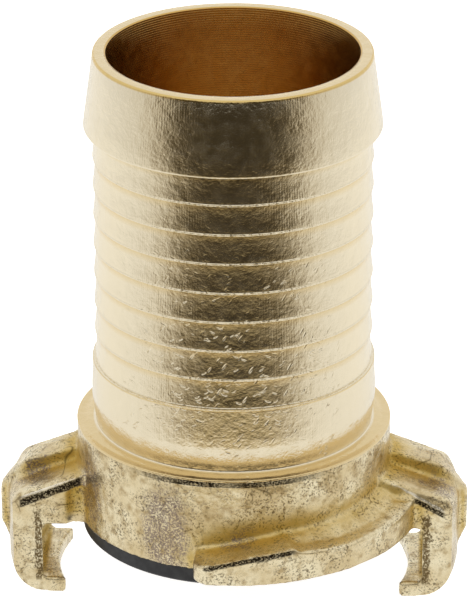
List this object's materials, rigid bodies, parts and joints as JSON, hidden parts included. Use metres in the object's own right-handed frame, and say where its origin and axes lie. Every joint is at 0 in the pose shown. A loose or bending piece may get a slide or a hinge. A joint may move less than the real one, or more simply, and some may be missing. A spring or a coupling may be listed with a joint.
{
  "type": "claw hose coupling",
  "caption": "Brass quarter turn claw coupling half with a ribbed hose tail, ramped locking flanges and a rubber face seal.",
  "frame": {"origin": "on the axis of the bore, in the plane of the claws' soles that the part stands on", "axes": "+Z along the bore axis towards the open end of the hose tail, X through the middle of both claws"},
  "size_m": [0.0658, 0.0536, 0.0784],
  "materials": {
    "brass_body": "hot-pressed brass, grainy as forged on collar, claws and flanges, turned satin on the tail and in the bore",
    "seal_rubber": "matt moulded nitrile rubber"
  },
  "bodies": {
    "root": {"coupling_body": "brass_body", "seal_ring": "seal_rubber"}
  },
  "joints": []
}
